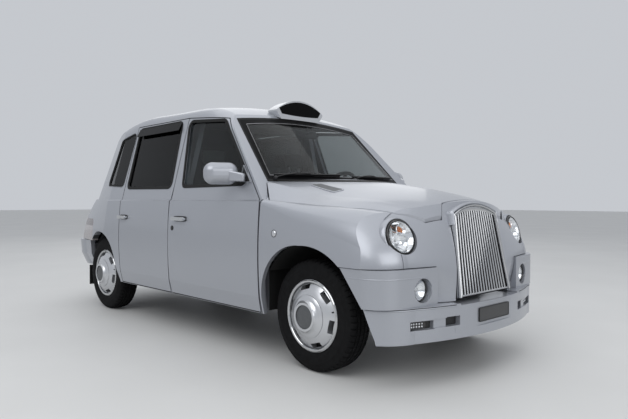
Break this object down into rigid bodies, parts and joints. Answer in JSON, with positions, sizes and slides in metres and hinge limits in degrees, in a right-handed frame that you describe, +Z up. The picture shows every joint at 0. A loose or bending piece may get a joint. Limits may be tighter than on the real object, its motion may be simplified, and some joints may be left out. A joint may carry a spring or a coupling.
{
  "type": "taxi cab",
  "caption": "Tall bonneted taxi cab with a vertical-bar grille, round headlamps, side doors that open, a roof sign, a bonnet and boot lid that lift, and steered, turning wheels.",
  "frame": {"origin": "on the ground at the middle of the bounding box", "axes": "+X forward along the cab, +Y to the cab's left, +Z up"},
  "size_m": [4.5758, 2.105, 1.853],
  "materials": {
    "paint": "light metallic silver paint",
    "black_plastic": "matt black plastic",
    "black_metal": "black chassis paint",
    "chrome": "bright chrome",
    "wheel_silver": "satin silver wheel paint",
    "tyre": "black tyre rubber",
    "rubber": "black rubber",
    "glass": "clear glass",
    "dark_glass": "dark tinted glass",
    "lamp": "clear lamp lens over bright bowl",
    "red_lamp": "red lamp lens",
    "steel": "plain steel",
    "aluminium": "cast aluminium",
    "cast_iron": "cast iron",
    "trim": "dark grey moulded trim",
    "fabric": "dark seat cloth"
  },
  "bodies": {
    "body": {"arch_liners": "black_plastic", "body_shell": "paint", "chassis_frame": "black_metal", "dashboard": "trim", "drive_shaft": "steel", "driver_seat": "fabric", "engine_block": "cast_iron", "exhaust": "steel", "floor_pan": "trim", "fog_lamps": "lamp", "front_bumper": "paint", "front_suspension": "black_metal", "fuel_tank": "black_plastic", "grille": "chrome", "headlamps": "lamp", "mud_flaps": "rubber", "nose_panel": "paint", "partition": "trim", "radiator": "aluminium", "rear_axle": "black_metal", "rear_bench": "fabric", "rear_bumper": "paint", "rear_glass": "dark_glass", "roof_sign": "black_plastic", "steering_wheel": "trim", "tail_lamps": "red_lamp", "tip_up_seats": "fabric", "windscreen": "glass", "wing_left": "paint", "wing_right": "paint"},
    "door_front_left": {"door_front_left": "paint", "glass_door_front_left": "glass", "handle_front_left": "chrome", "mirror_left": "paint"},
    "wheel_front_left": {"wheel_front_left": "wheel_silver", "tyre_front_left": "tyre"},
    "door_rear_left": {"door_rear_left": "paint", "glass_door_rear_left": "dark_glass", "handle_rear_left": "chrome"},
    "wheel_rear_left": {"wheel_rear_left": "wheel_silver", "tyre_rear_left": "tyre"},
    "knuckle_left": {"knuckle_left": "cast_iron"},
    "door_front_right": {"door_front_right": "paint", "glass_door_front_right": "glass", "handle_front_right": "chrome", "mirror_right": "paint"},
    "wheel_front_right": {"wheel_front_right": "wheel_silver", "tyre_front_right": "tyre"},
    "door_rear_right": {"door_rear_right": "paint", "glass_door_rear_right": "dark_glass", "handle_rear_right": "chrome"},
    "wheel_rear_right": {"wheel_rear_right": "wheel_silver", "tyre_rear_right": "tyre"},
    "knuckle_right": {"knuckle_right": "cast_iron"},
    "bonnet": {"bonnet": "paint"},
    "boot_lid": {"boot_lid": "paint"}
  },
  "joints": [
    {"name": "steer_left", "type": "hinge", "parent": "body", "child": "knuckle_left", "pos_m": [1.512, 0.65, 0.343], "axis": [0, 0, 1], "range_deg": [-35, 35]},
    {"name": "spin_rear_left", "type": "hinge", "parent": "body", "child": "wheel_rear_left", "pos_m": [-1.374, 0.712, 0.343], "axis": [0, 1, 0], "continuous": true},
    {"name": "front_door_left_hinge", "type": "hinge", "parent": "body", "child": "door_front_left", "pos_m": [1.065, 0.875, 0.8], "axis": [0, 0, -1], "range_deg": [0, 65]},
    {"name": "rear_door_left_hinge", "type": "hinge", "parent": "body", "child": "door_rear_left", "pos_m": [-0.079, 0.875, 0.8], "axis": [0, 0, -1], "range_deg": [0, 65]},
    {"name": "steer_right", "type": "hinge", "parent": "body", "child": "knuckle_right", "pos_m": [1.512, -0.65, 0.343], "axis": [0, 0, 1], "range_deg": [-35, 35]},
    {"name": "spin_rear_right", "type": "hinge", "parent": "body", "child": "wheel_rear_right", "pos_m": [-1.374, -0.712, 0.343], "axis": [0, 1, 0], "continuous": true},
    {"name": "front_door_right_hinge", "type": "hinge", "parent": "body", "child": "door_front_right", "pos_m": [1.065, -0.875, 0.8], "axis": [0, 0, 1], "range_deg": [0, 65]},
    {"name": "rear_door_right_hinge", "type": "hinge", "parent": "body", "child": "door_rear_right", "pos_m": [-0.079, -0.875, 0.8], "axis": [0, 0, 1], "range_deg": [0, 65]},
    {"name": "bonnet_hinge", "type": "hinge", "parent": "body", "child": "bonnet", "pos_m": [0.972, 0, 1.2], "axis": [0, -1, 0], "range_deg": [0, 50]},
    {"name": "boot_hinge", "type": "hinge", "parent": "body", "child": "boot_lid", "pos_m": [-1.93, 0, 1.122], "axis": [0, 1, 0], "range_deg": [0, 75]},
    {"name": "spin_front_left", "type": "hinge", "parent": "knuckle_left", "child": "wheel_front_left", "pos_m": [1.512, 0.712, 0.343], "axis": [0, 1, 0], "continuous": true},
    {"name": "spin_front_right", "type": "hinge", "parent": "knuckle_right", "child": "wheel_front_right", "pos_m": [1.512, -0.712, 0.343], "axis": [0, 1, 0], "continuous": true}
  ],
  "couplings": [
    {"joint": "steer_right", "follows": "steer_left", "ratio": 1}
  ]
}
